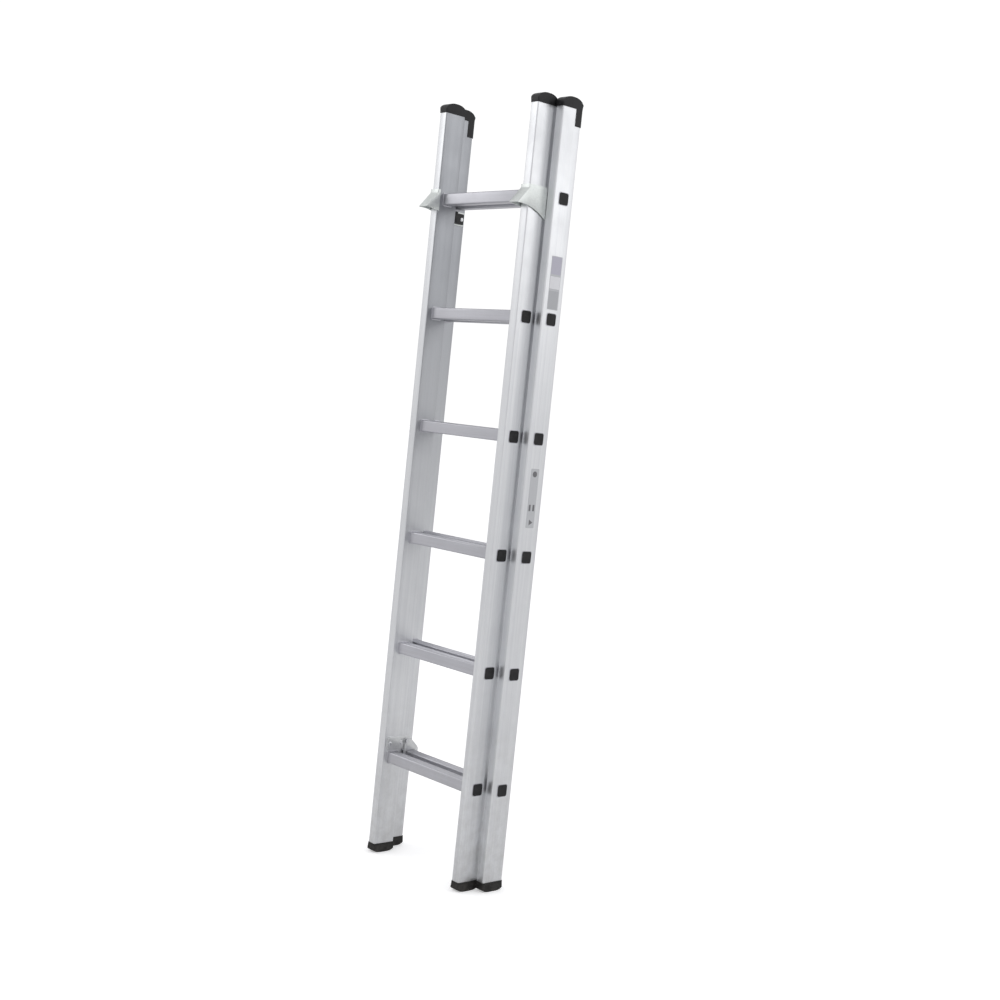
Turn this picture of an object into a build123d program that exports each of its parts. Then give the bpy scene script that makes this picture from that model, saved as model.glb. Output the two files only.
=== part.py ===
from build123d import *
import os

# Two-section push-up extension ladder, closed, standing upright on its four feet.
# +X is the user's right, +Y points to the wall it leans on, +Z is up, all in millimetres.
# The origin is on the floor, midway across and midway through the whole ladder.

# ---- sections ----
rung_count = 6
rung_pitch = 280.0
first_rung_rise = 225.0      # stile's lower end to the first rung's centre
top_overrun = 212.0          # last rung's centre to the stile's upper end
fly_width = 350.0            # over the outer faces of the fly's stiles
stile_width = 24.0
stile_depth = 61.0
stile_wall = 1.5
stile_corner = 2.5
fly_to_rung = 9.5            # fly's rear faces to the front of the base's rungs

# ---- rungs ----
rung_size = 28.0
rung_wall = 1.6
rung_corner = 3.0
rung_fit = 0.05              # rung to the edge of its hole in the stile, all round
tread_groove_count = 6
tread_groove_width = 1.8
tread_groove_depth = 0.7
collar_lip = 2.5             # collar beyond the rung, all round
collar_thickness = 1.6
rim_lip = 1.5                # flared end beyond the rung, all round
rim_thickness = 0.7
plug_head = 0.9
plug_head_lip = 1.6          # head beyond the rung's bore, all round
plug_head_corner = 5.0
plug_wall = 1.5
plug_reach = 14.0
plug_fit = 0.1

# ---- feet and top caps ----
foot_height = 20.0           # floor to the stile's lower end
foot_edge_rise = 9.0         # sole's height at its front and rear edges
foot_land = 18.0             # flat middle of the sole, front to rear
foot_skirt = 3.0
cap_height = 23.0            # stile's upper end to the cap's crown
cap_edge_height = 7.0
cap_land = 6.0               # flat crown, front to rear
cap_skirt = 2.5
sleeve_skin = 1.2            # plastic outside the stile
sleeve_fit = 0.05            # between the plastic and the stile
sleeve_corner_ease = 0.1     # end piece's corners, sharper than the sleeve's
spigot_wall = 2.2
foot_spigot = 38.0
cap_spigot = 26.0
bumper_drop = 42.0           # wall bumper below the stile's upper end
bumper_thickness = 2.5
bumper_wrap = 18.0           # how far the bumper reaches forward over the stile's sides
bumper_corner = 2.0

# ---- guide brackets at the top rung ----
guide_sheet = 2.0
slide_clearance = 0.4        # rung plugs to the bracket
guide_side_play = 1.0        # bracket's inner cheek to the fly's stile
guide_front_play = 1.2       # bracket's lip to the fly's stile
lip_reach = 35.5             # lip's tip to the fly's front face
lip_top = 22.0               # above the top rung's centre
lip_knee = 14.0
lip_tip = -24.0
lip_tip_run = 4.0            # cut corner at the lip's tip, front to rear
lip_tip_drop = 2.0
lip_fold_ease = 1.0          # fold's inner side below its outer side
cheek_overlap = 4.0          # inner cheek behind the fly's front face
cheek_drop = 6.0             # cheek's rear corner below the lip's tip
guide_arch = 14.0            # arched lower edge below the lip's tip, at mid fly
guide_top_margin = 8.0       # top edge ends ahead of the fly's rear face
tongue_play = 2.5            # tongue on the base's stile, below the rung's collar
tongue_height = 33.0
tongue_front_margin = 2.0    # tongue's top corner behind the base's front face
tongue_rear_margin = 5.0
guide_rivet_play = 1.2       # front rivet's head behind the slide block
guide_rivet_rear = 13.0      # ahead of the base's rear face
guide_rivet_drop = 17.0      # below the tongue's top
slide_block_play = 0.8
slide_block_depth = 9.0
slide_block_inset = 2.0      # inside the fly's inner face
slide_block_margin = 3.0     # shorter than the tongue, at its top and bottom
slide_block_corner = 2.0
slide_block_peg = 6.0
slide_pad = 3.0              # block's flange over the tongue
slide_pad_margin = 2.0       # flange short of the tongue's rear edge
rivet_shank = 4.8
rivet_fit = 0.05
rivet_head = 10.0
rivet_head_height = 1.6
rivet_head_round = 1.0
rivet_tail = 7.4
rivet_tail_length = 3.0

# ---- hooks at the fly's lowest rung ----
hook_thickness = 4.0
hook_top = 52.0              # above the lowest rung's centre
hook_seat_play = 0.3         # hook above the base's rung
hook_throat_play = 0.6       # nose behind the base's rung
hook_nose_depth = 10.0
hook_nose_drop = 9.0         # nose's tip below the rung's centre
hook_nose_cut = 3.0
hook_lead_in = 6.0           # slope inside the nose's tip
hook_seat_lead = 3.0         # seat ahead of the base's rung
hook_shoulder = 24.0
hook_shoulder_run = 4.0
hook_shoulder_drop = 6.0
hook_crest_run = 9.0         # crest behind the catch's pivot
hook_crest_corner = 6.0
hook_front_margin = 8.0
hook_rivet_front = 16.0      # behind the fly's front face
hook_rivet_rear = 10.0       # ahead of the fly's rear face
hook_rivet_rise = 36.0       # above the lowest rung's centre
collar_play = 2.5

# ---- safety catches on the hooks ----
pivot_setback = 5.5          # pivot behind the fly's rear face
pivot_rise = 40.0            # above the lowest rung's centre
pin_diameter = 6.0
pin_fit = 0.05
pin_head = 10.0
pin_head_height = 1.5
catch_thickness = 2.7
catch_play = 0.3
catch_boss_radius = 8.0
catch_leg_width = 8.0
catch_leg_play = 1.6         # leg in front of the base's rung
catch_toe_play = 1.2         # toe below the base's rung
catch_toe_height = 7.0
catch_toe_reach = 10.0       # toe under the base's rung
catch_toe_cut = 3.0
catch_tab = 5.0
spring_wire = 0.87
spring_pitch = 0.9           # from one turn of the wire to the next
spring_play = 0.25
spring_radius = 4.7
spring_turns = 2.0
spring_arm = 15.0

# ---- labels ----
label_thickness = 0.3
rating_label_width = 34.0
rating_label_height = 124.0
rating_label_rung = 5
rating_label_rise = 23.0     # above that rung's centre
guidance_label_width = 26.0
guidance_label_height = 140.0
guidance_label_rung = 3
guidance_label_rise = 70.0   # above that rung's centre
label_corner = 2.0

cutter_overrun = 1.0         # a drill's length past each face of a plate

# ---- worked out from the above ----
stile_length = first_rung_rise + rung_pitch * (rung_count - 1) + top_overrun
stile_bottom = foot_height
stile_top = stile_bottom + stile_length
plug_stand = rim_thickness + plug_head
side_gap = guide_sheet + plug_stand + slide_clearance
base_width = fly_width + 2 * (side_gap + stile_width)
section_step = stile_depth / 2 + fly_to_rung + rung_size / 2
overall_depth = lip_reach + stile_depth + section_step + sleeve_fit + bumper_thickness
fly_front = lip_reach - overall_depth / 2
fly_mid = fly_front + stile_depth / 2
fly_rear = fly_front + stile_depth
base_mid = fly_mid + section_step
base_front = base_mid - stile_depth / 2
base_rear = base_mid + stile_depth / 2
fly_inner = fly_width / 2 - stile_width
base_inner = base_width / 2 - stile_width


def rung_height(number):
    return stile_bottom + first_rung_rise + rung_pitch * (number - 1)


top_rung = rung_height(rung_count)
low_rung = rung_height(1)
rung_numbers = range(1, rung_count + 1)
tongue_top = top_rung - rung_size / 2 - collar_lip - tongue_play
tongue_bottom = tongue_top - tongue_height


def across(outline, x_start, x_end):
    """Extrude a Y-Z outline along X between two X values."""
    return extrude(Plane.YZ.offset(x_start) * outline, x_end - x_start)


def rounded_bar(x_start, x_end, y, z, size, corner):
    return across(Pos(y, z) * RectangleRounded(size, size, corner), x_start, x_end)


def rod(x_start, x_end, y, z, diameter):
    return across(Pos(y, z) * Circle(diameter / 2), x_start, x_end)


def block(x_start, x_end, y_start, y_end, z_start, z_end):
    middle = ((x_start + x_end) / 2, (y_start + y_end) / 2, (z_start + z_end) / 2)
    return Pos(*middle) * Box(x_end - x_start, y_end - y_start, z_end - z_start)


def outline_face(points):
    return make_face(Polyline(*points, close=True))


def to_left(piece):
    return mirror(piece, about=Plane.YZ)


# ---- places of the fasteners, for holes and shanks alike ----
guide_rivet_height = tongue_top - guide_rivet_drop
slide_block_front = fly_rear + slide_block_play
slide_block_rear = slide_block_front + slide_block_depth
guide_rivets_at = [
    (slide_block_rear + guide_rivet_play + rivet_head / 2, guide_rivet_height),
    (base_rear - guide_rivet_rear, guide_rivet_height),
]
slide_block_at = (slide_block_front + slide_block_depth / 2, guide_rivet_height)
hook_rivets_at = [
    (fly_front + hook_rivet_front, low_rung + hook_rivet_rise),
    (fly_rear - hook_rivet_rear, low_rung + hook_rivet_rise),
]
pivot_at = (fly_rear + pivot_setback, low_rung + pivot_rise)


# ---- stiles ----
def stile(x_middle, y_middle, rivets_at):
    """Right-hand box-section stile: a through hole for each rung, rivet holes in its inner wall."""
    bore = RectangleRounded(stile_width - 2 * stile_wall, stile_depth - 2 * stile_wall,
                            stile_corner - stile_wall)
    section = RectangleRounded(stile_width, stile_depth, stile_corner) - bore
    tube = extrude(Pos(x_middle, y_middle, stile_bottom) * section, stile_length)
    hole_size = rung_size + 2 * rung_fit
    for number in rung_numbers:
        tube -= rounded_bar(x_middle - stile_width, x_middle + stile_width, y_middle,
                            rung_height(number), hole_size, rung_corner + rung_fit)
    for y, z in rivets_at:
        tube -= rod(x_middle - stile_width, x_middle, y, z, rivet_shank + 2 * rivet_fit)
    return tube


# ---- rungs ----
def rung(width, y_middle, number):
    """Square tube with a grooved tread, a collar inside each stile and a flared rim outside."""
    z = rung_height(number)
    end = width / 2
    body = rounded_bar(-end - rim_thickness, end + rim_thickness, y_middle, z, rung_size, rung_corner)
    groove_span = rung_size - 2 * rung_corner
    for index in range(tread_groove_count):
        y = y_middle - groove_span / 2 + groove_span * (index + 0.5) / tread_groove_count
        tread_end = end - stile_width
        body -= block(-tread_end, tread_end, y - tread_groove_width / 2, y + tread_groove_width / 2,
                      z + rung_size / 2 - tread_groove_depth, z + rung_size)
    for side in (-1, 1):
        face = side * (end - stile_width)
        body += rounded_bar(min(face, face - side * collar_thickness),
                            max(face, face - side * collar_thickness), y_middle, z,
                            rung_size + 2 * collar_lip, rung_corner + collar_lip)
        body += rounded_bar(min(side * end, side * (end + rim_thickness)),
                            max(side * end, side * (end + rim_thickness)), y_middle, z,
                            rung_size + 2 * rim_lip, rung_corner + rim_lip)
    bore = rung_size - 2 * rung_wall
    return body - rounded_bar(-width, width, y_middle, z, bore, rung_corner - rung_wall)


def rung_plugs(width, y_middle):
    """The right-hand stile's plugs: a rounded head with a hollow spigot in each rung's end."""
    seat = width / 2 + rim_thickness
    bore = rung_size - 2 * rung_wall
    spigot_size = bore - 2 * plug_fit
    corner = rung_corner - rung_wall
    plugs = []
    for number in rung_numbers:
        z = rung_height(number)
        plug = rounded_bar(seat, seat + plug_head, y_middle, z, bore + 2 * plug_head_lip,
                           plug_head_corner)
        plug += rounded_bar(seat - plug_reach, seat, y_middle, z, spigot_size, corner)
        plug -= rounded_bar(seat - plug_reach, seat - plug_wall, y_middle, z,
                            spigot_size - 2 * plug_wall, corner / 2)
        plugs.append(plug)
    return Compound(children=plugs)


# ---- plastic ends of the stiles ----
def sleeve(x_middle, y_middle, z_start, z_end):
    """Plastic round the outside of a stile's end, with the stile's own room cut out."""
    outer = RectangleRounded(stile_width + 2 * sleeve_fit + 2 * sleeve_skin,
                             stile_depth + 2 * sleeve_fit + 2 * sleeve_skin,
                             stile_corner + sleeve_skin)
    room = RectangleRounded(stile_width + 2 * sleeve_fit, stile_depth + 2 * sleeve_fit,
                            stile_corner + sleeve_fit)
    return extrude(Pos(x_middle, y_middle, z_start) * (outer - room), z_end - z_start)


def spigot(x_middle, y_middle, z_start, z_end):
    """Hollow plug that fits inside a stile's end."""
    inside_width = stile_width - 2 * stile_wall - 2 * sleeve_fit
    inside_depth = stile_depth - 2 * stile_wall - 2 * sleeve_fit
    outer = RectangleRounded(inside_width, inside_depth, stile_corner - stile_wall)
    room = Rectangle(inside_width - 2 * spigot_wall, inside_depth - 2 * spigot_wall)
    return extrude(Pos(x_middle, y_middle, z_start) * (outer - room), z_end - z_start)


def crowned_end(x_middle, y_middle, z_flat, z_edge, z_crown, land):
    """Solid end piece: flat against the stile, with a convex face and a flat land along it."""
    half = stile_depth / 2 + sleeve_fit + sleeve_skin
    half_width = stile_width / 2 + sleeve_fit + sleeve_skin
    rear, front = y_middle + half, y_middle - half
    land_rear, land_front = y_middle + land / 2, y_middle - land / 2
    edges = [
        Line((front, z_flat), (rear, z_flat)),
        Line((rear, z_flat), (rear, z_edge)),
        TangentArc((land_rear, z_crown), (rear, z_edge), tangent=(1, 0)),
        Line((land_rear, z_crown), (land_front, z_crown)),
        TangentArc((land_front, z_crown), (front, z_edge), tangent=(-1, 0)),
        Line((front, z_edge), (front, z_flat)),
    ]
    return across(make_face(edges), x_middle - half_width, x_middle + half_width)


def foot(x_middle, y_middle):
    body = crowned_end(x_middle, y_middle, stile_bottom, foot_edge_rise, 0.0, foot_land)
    body = fillet(body.edges().filter_by(Axis.Z), stile_corner + sleeve_skin - sleeve_corner_ease)
    body += sleeve(x_middle, y_middle, stile_bottom, stile_bottom + foot_skirt)
    return body + spigot(x_middle, y_middle, stile_bottom, stile_bottom + foot_spigot)


def cap(x_middle, y_middle):
    body = crowned_end(x_middle, y_middle, stile_top, stile_top + cap_edge_height,
                       stile_top + cap_height, cap_land)
    body = fillet(body.edges().filter_by(Axis.Z), stile_corner + sleeve_skin - sleeve_corner_ease)
    body += sleeve(x_middle, y_middle, stile_top - cap_skirt, stile_top)
    return body + spigot(x_middle, y_middle, stile_top - cap_spigot, stile_top)


def bumper_cap(x_middle, y_middle):
    """Base's cap: the same, with a deep skirt round the stile's rear, which meets the wall."""
    skirt_rear = base_rear + sleeve_fit + bumper_thickness
    half_width = stile_width / 2 + sleeve_fit + sleeve_skin
    room_half = stile_width / 2 + sleeve_fit
    skirt = block(x_middle - half_width, x_middle + half_width, base_rear - bumper_wrap, skirt_rear,
                  stile_top - bumper_drop, stile_top + cap_edge_height)
    skirt = fillet(skirt.edges().filter_by(Axis.X).group_by(Axis.Y)[-1], bumper_corner)
    skirt -= block(x_middle - room_half, x_middle + room_half, y_middle - stile_depth,
                   base_rear + sleeve_fit, stile_top - stile_length, stile_top)
    return cap(x_middle, y_middle) + skirt


# ---- guide brackets ----
def guide_bracket():
    """Right bracket: a plate on the base's stile, folded round the front of the fly's stile."""
    plate_outer = base_inner
    plate_inner = base_inner - guide_sheet
    cheek_outer = fly_inner - guide_side_play
    cheek_inner = cheek_outer - guide_sheet
    strap_inner = fly_front - guide_front_play
    strap_outer = strap_inner - guide_sheet
    tip = fly_front - lip_reach
    rear = base_rear - tongue_rear_margin
    cheek_rear = fly_front + cheek_overlap
    top = top_rung + lip_top
    knee = top_rung + lip_knee
    low = top_rung + lip_tip
    tip_corner = (tip + lip_tip_run, low - lip_tip_drop)
    top_corner = (fly_rear - guide_top_margin, top)
    tongue_corner = (base_front + tongue_front_margin, tongue_top)
    plate_edges = [
        Line((strap_outer, top), top_corner),
        Line(top_corner, tongue_corner),
        Line(tongue_corner, (rear, tongue_top)),
        Line((rear, tongue_top), (rear, tongue_bottom)),
        Line((rear, tongue_bottom), (base_front, tongue_bottom)),
        ThreePointArc((base_front, tongue_bottom), (fly_mid, low - guide_arch), tip_corner),
        Line(tip_corner, (tip, low)),
        Line((tip, low), (strap_outer, knee)),
        Line((strap_outer, knee), (strap_outer, top)),
    ]
    plate = across(make_face(plate_edges), plate_inner, plate_outer)
    slope = Vector(tip - strap_outer, low - knee).normalized()
    inward = Vector(-slope.Y, slope.X) * guide_sheet
    lip = outline_face([
        (strap_outer, top), (strap_inner, top), (strap_inner, knee - lip_fold_ease),
        (tip + inward.X, low + inward.Y), (tip, low), (strap_outer, knee),
    ])
    cheek = outline_face([
        (strap_outer, top), (cheek_rear, top), (cheek_rear, low - cheek_drop),
        tip_corner, (tip, low), (strap_outer, knee),
    ])
    bracket = plate + across(lip, cheek_inner, plate_outer) + across(cheek, cheek_inner, cheek_outer)
    holes = [(place, rivet_shank) for place in guide_rivets_at] + [(slide_block_at, slide_block_peg)]
    for (y, z), shank in holes:
        bracket -= rod(plate_inner - cutter_overrun, plate_outer + cutter_overrun, y, z,
                       shank + 2 * rivet_fit)
    return bracket


def blind_rivets(head_face, wall_face, places):
    """Rivets driven outwards along +X: head on head_face, tail behind wall_face."""
    rivets = []
    for y, z in places:
        rivet = rod(head_face - rivet_head_height, head_face, y, z, rivet_head)
        rim = rivet.edges().filter_by(GeomType.CIRCLE).group_by(Axis.X)[0]
        rivet = fillet(rim, rivet_head_round)
        rivet += rod(head_face, wall_face, y, z, rivet_shank)
        rivet += rod(wall_face, wall_face + rivet_tail_length, y, z, rivet_tail)
        rivets.append(rivet)
    return Compound(children=rivets)


def slide_block():
    """Nylon block behind the fly's right stile, with a flange riveted over the bracket's tongue."""
    plate_inner = base_inner - guide_sheet
    bottom = tongue_bottom + slide_block_margin
    top = tongue_top - slide_block_margin
    body = block(fly_inner + slide_block_inset, plate_inner, slide_block_front, slide_block_rear,
                 bottom, top)
    body = fillet(body.edges().filter_by(Axis.X), slide_block_corner)
    pad_rear = base_rear - tongue_rear_margin - slide_pad_margin
    body += block(plate_inner - slide_pad, plate_inner, slide_block_at[0], pad_rear, bottom, top)
    for y, z in guide_rivets_at:
        body -= rod(plate_inner - slide_pad - cutter_overrun, plate_inner + cutter_overrun, y, z,
                    rivet_shank + 2 * rivet_fit)
    return body + rod(plate_inner, base_inner, *slide_block_at, slide_block_peg)


# ---- hooks and safety catches ----
hook_outer = fly_inner
hook_inner = fly_inner - hook_thickness
catch_outer = hook_inner - catch_play
catch_inner = catch_outer - catch_thickness
pin_end = catch_inner - 2 * spring_play - spring_pitch * (spring_turns + 1)
rung_rear = base_mid + rung_size / 2
rung_fore = base_mid - rung_size / 2
rung_over = low_rung + rung_size / 2
rung_under = low_rung - rung_size / 2


def hook_plate():
    """Right hook: a plate on the fly's stile that drops over the base's rung."""
    seat = rung_over + hook_seat_play
    throat = rung_rear + hook_throat_play
    nose_rear = throat + hook_nose_depth
    nose_tip = low_rung - hook_nose_drop
    foot_of_plate = rung_over + collar_lip + collar_play
    crest = low_rung + hook_top
    front = fly_front + hook_front_margin
    shape = outline_face([
        (front, foot_of_plate), (front, crest), (pivot_at[0] + hook_crest_run, crest),
        (nose_rear - hook_shoulder_run, low_rung + hook_shoulder),
        (nose_rear, low_rung + hook_shoulder - hook_shoulder_drop),
        (nose_rear, nose_tip + hook_nose_cut), (nose_rear - hook_nose_cut, nose_tip),
        (throat + hook_nose_cut, nose_tip), (throat, nose_tip + hook_lead_in),
        (throat, seat), (rung_fore - hook_seat_lead, seat), (fly_rear, foot_of_plate),
    ])
    plate = across(shape, hook_inner, hook_outer)
    plate = fillet(plate.edges().filter_by(Axis.X).group_by(Axis.Z)[-1], hook_crest_corner)
    holes = [(place, rivet_shank + 2 * rivet_fit) for place in hook_rivets_at]
    holes.append((pivot_at, pin_diameter))
    for (y, z), diameter in holes:
        plate -= rod(hook_inner - cutter_overrun, hook_outer + cutter_overrun, y, z, diameter)
    return plate


def catch_pin():
    """Pin riveted in the hook plate, with a head outside and a retaining head inside."""
    shank = rod(pin_end, hook_outer, *pivot_at, pin_diameter)
    head = rod(hook_outer, hook_outer + pin_head_height, *pivot_at, pin_head)
    keeper = rod(pin_end - pin_head_height, pin_end, *pivot_at, pin_head)
    return shank + head + keeper


def catch():
    """Right safety catch: it hangs in front of the base's rung with its toe underneath."""
    y, z = pivot_at
    leg_rear = rung_fore - catch_leg_play
    leg_front = leg_rear - catch_leg_width
    toe_top = rung_under - catch_toe_play
    toe_bottom = toe_top - catch_toe_height
    toe_end = rung_fore + catch_toe_reach
    shape = outline_face([
        (leg_front, z), (leg_rear, z), (leg_rear, toe_top), (toe_end, toe_top),
        (toe_end, toe_bottom + catch_toe_cut), (toe_end - catch_toe_cut, toe_bottom),
        (leg_front - catch_tab, toe_bottom), (leg_front, toe_top + catch_toe_cut),
    ])
    body = across(shape, catch_inner, catch_outer)
    body += rod(catch_inner, catch_outer, y, z, 2 * catch_boss_radius)
    return body - rod(catch_inner - cutter_overrun, catch_outer + cutter_overrun, y, z,
                      pin_diameter + 2 * pin_fit)


def catch_spring():
    """Torsion spring round the pin, between the catch and the pin's keeper."""
    y, z = pivot_at
    start = pin_end + spring_play + spring_pitch / 2
    coil = Helix(pitch=spring_pitch, height=spring_pitch * spring_turns, radius=spring_radius,
                 center=(start, y, z), direction=(1, 0, 0))
    section = Circle(spring_wire / 2)
    wire = sweep(Plane(origin=coil @ 0, z_dir=coil % 0) * section, path=coil)
    for place, outwards in ((0, -1), (1, 1)):
        arm_start = Plane(origin=coil @ place, z_dir=(coil % place) * outwards)
        wire += extrude(arm_start * section, spring_arm)
    return wire


# ---- labels ----
def label(width, height, z_start):
    """Thin plate stuck on the outer face of the base's right stile."""
    outline = Pos(base_mid, z_start + height / 2) * RectangleRounded(width, height, label_corner)
    return across(outline, base_width / 2, base_width / 2 + label_thickness)


# ---- assemble ----
fly_x = fly_width / 2 - stile_width / 2
base_x = base_width / 2 - stile_width / 2
right_pieces = {
    "base_stile": stile(base_x, base_mid, guide_rivets_at),
    "fly_stile": stile(fly_x, fly_mid, hook_rivets_at),
    "base_rung_plugs": rung_plugs(base_width, base_mid),
    "fly_rung_plugs": rung_plugs(fly_width, fly_mid),
    "base_foot": foot(base_x, base_mid),
    "fly_foot": foot(fly_x, fly_mid),
    "base_cap": bumper_cap(base_x, base_mid),
    "fly_cap": cap(fly_x, fly_mid),
    "guide_bracket": guide_bracket(),
    "guide_rivets": blind_rivets(base_inner - guide_sheet - slide_pad, base_inner + stile_wall,
                                 guide_rivets_at),
    "guide_slide_block": slide_block(),
    "hook_plate": hook_plate(),
    "hook_rivets": blind_rivets(hook_inner, hook_outer + stile_wall, hook_rivets_at),
    "catch_pin": catch_pin(),
    "catch": catch(),
    "catch_spring": catch_spring(),
}

nodes = {}
for name, piece in right_pieces.items():
    nodes[name + "_right"] = piece
    nodes[name + "_left"] = to_left(piece)
for number in rung_numbers:
    nodes["base_rung_%d" % number] = rung(base_width, base_mid, number)
    nodes["fly_rung_%d" % number] = rung(fly_width, fly_mid, number)
nodes["rating_label"] = label(rating_label_width, rating_label_height,
                              rung_height(rating_label_rung) + rating_label_rise)
nodes["guidance_label"] = label(guidance_label_width, guidance_label_height,
                                rung_height(guidance_label_rung) + guidance_label_rise)

os.makedirs("parts", exist_ok=True)
for name, piece in nodes.items():
    export_step(piece, "parts/%s.step" % name)
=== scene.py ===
import math

import bpy
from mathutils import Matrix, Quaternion, Vector


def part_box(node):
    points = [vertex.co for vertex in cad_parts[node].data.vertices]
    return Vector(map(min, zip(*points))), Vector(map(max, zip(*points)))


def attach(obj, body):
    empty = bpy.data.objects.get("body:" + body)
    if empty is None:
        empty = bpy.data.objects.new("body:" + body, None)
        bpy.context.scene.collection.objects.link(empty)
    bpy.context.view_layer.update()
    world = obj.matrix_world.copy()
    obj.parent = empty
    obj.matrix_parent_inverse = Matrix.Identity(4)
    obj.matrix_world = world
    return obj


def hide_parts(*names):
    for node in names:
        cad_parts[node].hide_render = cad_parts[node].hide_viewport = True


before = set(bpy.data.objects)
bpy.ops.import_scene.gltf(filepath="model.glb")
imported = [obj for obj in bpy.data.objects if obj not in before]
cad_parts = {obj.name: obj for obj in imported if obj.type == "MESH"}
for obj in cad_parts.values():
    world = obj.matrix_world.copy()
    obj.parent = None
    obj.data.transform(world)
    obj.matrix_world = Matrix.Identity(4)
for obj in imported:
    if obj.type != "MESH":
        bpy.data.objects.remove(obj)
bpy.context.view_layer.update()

# ---------------------------------------------------------------- sizes, in metres
MM = 0.001
STILE_WALL = 1.5 * MM
STILE_CORNER = 2.5 * MM
RUNG = 28.0 * MM
RUNG_CORNER = 3.0 * MM
RUNG_WALL = 1.6 * MM
COLLAR = 1.6 * MM            # collar's length along the rung
COLLAR_LIP = 2.5 * MM
RIM = 0.7 * MM               # flared end's length outside the stile
RIM_LIP = 1.5 * MM
GROOVES = 6
GROOVE_WIDTH = 1.8 * MM
GROOVE_DEPTH = 0.7 * MM
PLUG_HEAD = 0.9 * MM
PLUG_CORNER = 5.0 * MM
PLUG_REACH = 14.0 * MM       # spigot's length inside the rung
PLUG_WALL = 1.5 * MM
PLUG_DISH = 0.35 * MM        # how deep the head is dished
SLEEVE = 1.25 * MM           # plastic outside the stile, with its fit
FOOT_EDGE = 9.0 * MM         # sole's height at its front and rear edges
FOOT_LAND = 18.0 * MM
FOOT_SEAT = 20.0 * MM        # where the stile stands in the foot
FOOT_SKIRT = 3.0 * MM
FOOT_SPIGOT = 38.0 * MM
CAP_EDGE = 7.0 * MM
CAP_LAND = 6.0 * MM
CAP_SKIRT = 2.5 * MM
CAP_SPIGOT = 26.0 * MM
BUMPER_DROP = 42.0 * MM
BUMPER_WRAP = 18.0 * MM
SHEET = 2.0 * MM             # guide bracket's sheet
HOOK = 4.0 * MM              # hook plate
RIVET_HEAD = 10.0 * MM
RIVET_HEAD_HEIGHT = 1.6 * MM
RIVET_TAIL = 3.0 * MM        # tail's length behind the wall
GUIDE_FRONT_PLAY = 1.2 * MM  # bracket's lip to the fly's stile
LIP_DROP = 24.0 * MM         # lip's tip below the top rung
LIP_KNEE = 8.0 * MM          # where the lip starts to lean, below the bracket's top
LIP_TIP_DROP = 2.0 * MM
ARCH_RISE = 8.8 * MM         # how far the lower edge bows up
CHEEK_OVERLAP = 4.0 * MM     # inner cheek behind the fly's front face
CHEEK_DROP = 6.0 * MM
TONGUE_MARGIN = 2.0 * MM     # tongue's top corner behind the base's front face
CREST_MARGIN = 8.0 * MM      # bracket's top edge ahead of the fly's rear face
BLOCK_MARGIN = 3.0 * MM      # bracket's tongue above the slide block
BLOCK_DEPTH = 9.0 * MM       # slide block, front to rear
PAD = 3.0 * MM               # slide block's flange over the tongue
HOOK_NOSE = 10.0 * MM
HOOK_NOSE_CUT = 3.0 * MM
HOOK_LEAD_IN = 6.0 * MM      # slope inside the nose's tip
HOOK_SEAT_PLAY = 0.3 * MM
HOOK_SEAT_LEAD = 3.0 * MM    # seat ahead of the base's rung
HOOK_SHOULDER = 24.0 * MM    # above the lowest rung
HOOK_SHOULDER_RUN = 4.0 * MM
HOOK_SHOULDER_DROP = 6.0 * MM
HOOK_CREST_RUN = 9.0 * MM    # crest behind the catch's pivot
HOOK_CREST_CORNER = 6.0 * MM
COLLAR_PLAY = 2.5 * MM       # hook plate above the rung's collar
CATCH_LEG = 8.0 * MM
CATCH_LEG_PLAY = 1.6 * MM
CATCH_TOE = 7.0 * MM         # toe's height
CATCH_TOE_CUT = 3.0 * MM
PIN = 6.0 * MM
PIN_HEAD = 1.5 * MM

# ---------------------------------------------------------------- light levels
HORIZON = 0.78
CEILING = 0.79
FLOOR_BOUNCE = 0.80          # how much light the floor gives back to the ladder
FLOOR_LIFT = 0.36            # keeps the floor as pale as the background

stile_boxes = {"base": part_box("base_stile_right"), "fly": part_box("fly_stile_right")}
rung_numbers = range(1, 7)
low_rung, top_rung = [sum(corner.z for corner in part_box(name)) / 2
                      for name in ("base_rung_1", "base_rung_6")]
section_of = {"base": "base_section", "fly": "fly_section"}


def middle(box):
    return (box[0] + box[1]) / 2


def unit(y, z):
    """A direction of length one in the Y-Z plane."""
    return Vector((0, y, z)).normalized()


# ---------------------------------------------------------------- working by hand, in code
def deselect_all():
    bpy.ops.object.select_all(action="DESELECT")


def choose(piece):
    deselect_all()
    piece.select_set(True)
    bpy.context.view_layer.objects.active = piece


def settle(name):
    """Names the new primitive and puts its place, turn and size into its mesh."""
    piece = bpy.context.active_object
    choose(piece)
    bpy.ops.object.transform_apply(location=True, rotation=True, scale=True)
    piece.name = name
    piece.data.name = name
    return piece


def add_block(name, low, high):
    deselect_all()
    bpy.ops.mesh.primitive_cube_add(size=1, location=[(a + b) / 2 for a, b in zip(low, high)])
    bpy.context.active_object.scale = [b - a for a, b in zip(low, high)]
    return settle(name)


def add_card(name, x, y_span, z_span):
    """An upright flat card in a plane of constant X, facing +X."""
    deselect_all()
    place = (x, sum(y_span) / 2, sum(z_span) / 2)
    bpy.ops.mesh.primitive_plane_add(size=1, location=place, rotation=(0, math.pi / 2, 0))
    bpy.context.active_object.scale = (z_span[1] - z_span[0], y_span[1] - y_span[0], 1)
    return settle(name)


def add_disc(name, x, y, z, radius, corners=24):
    """A filled disc in a plane of constant X."""
    deselect_all()
    bpy.ops.mesh.primitive_circle_add(vertices=corners, radius=radius, fill_type="NGON",
                                      location=(x, y, z), rotation=(0, math.pi / 2, 0))
    return settle(name)


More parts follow.
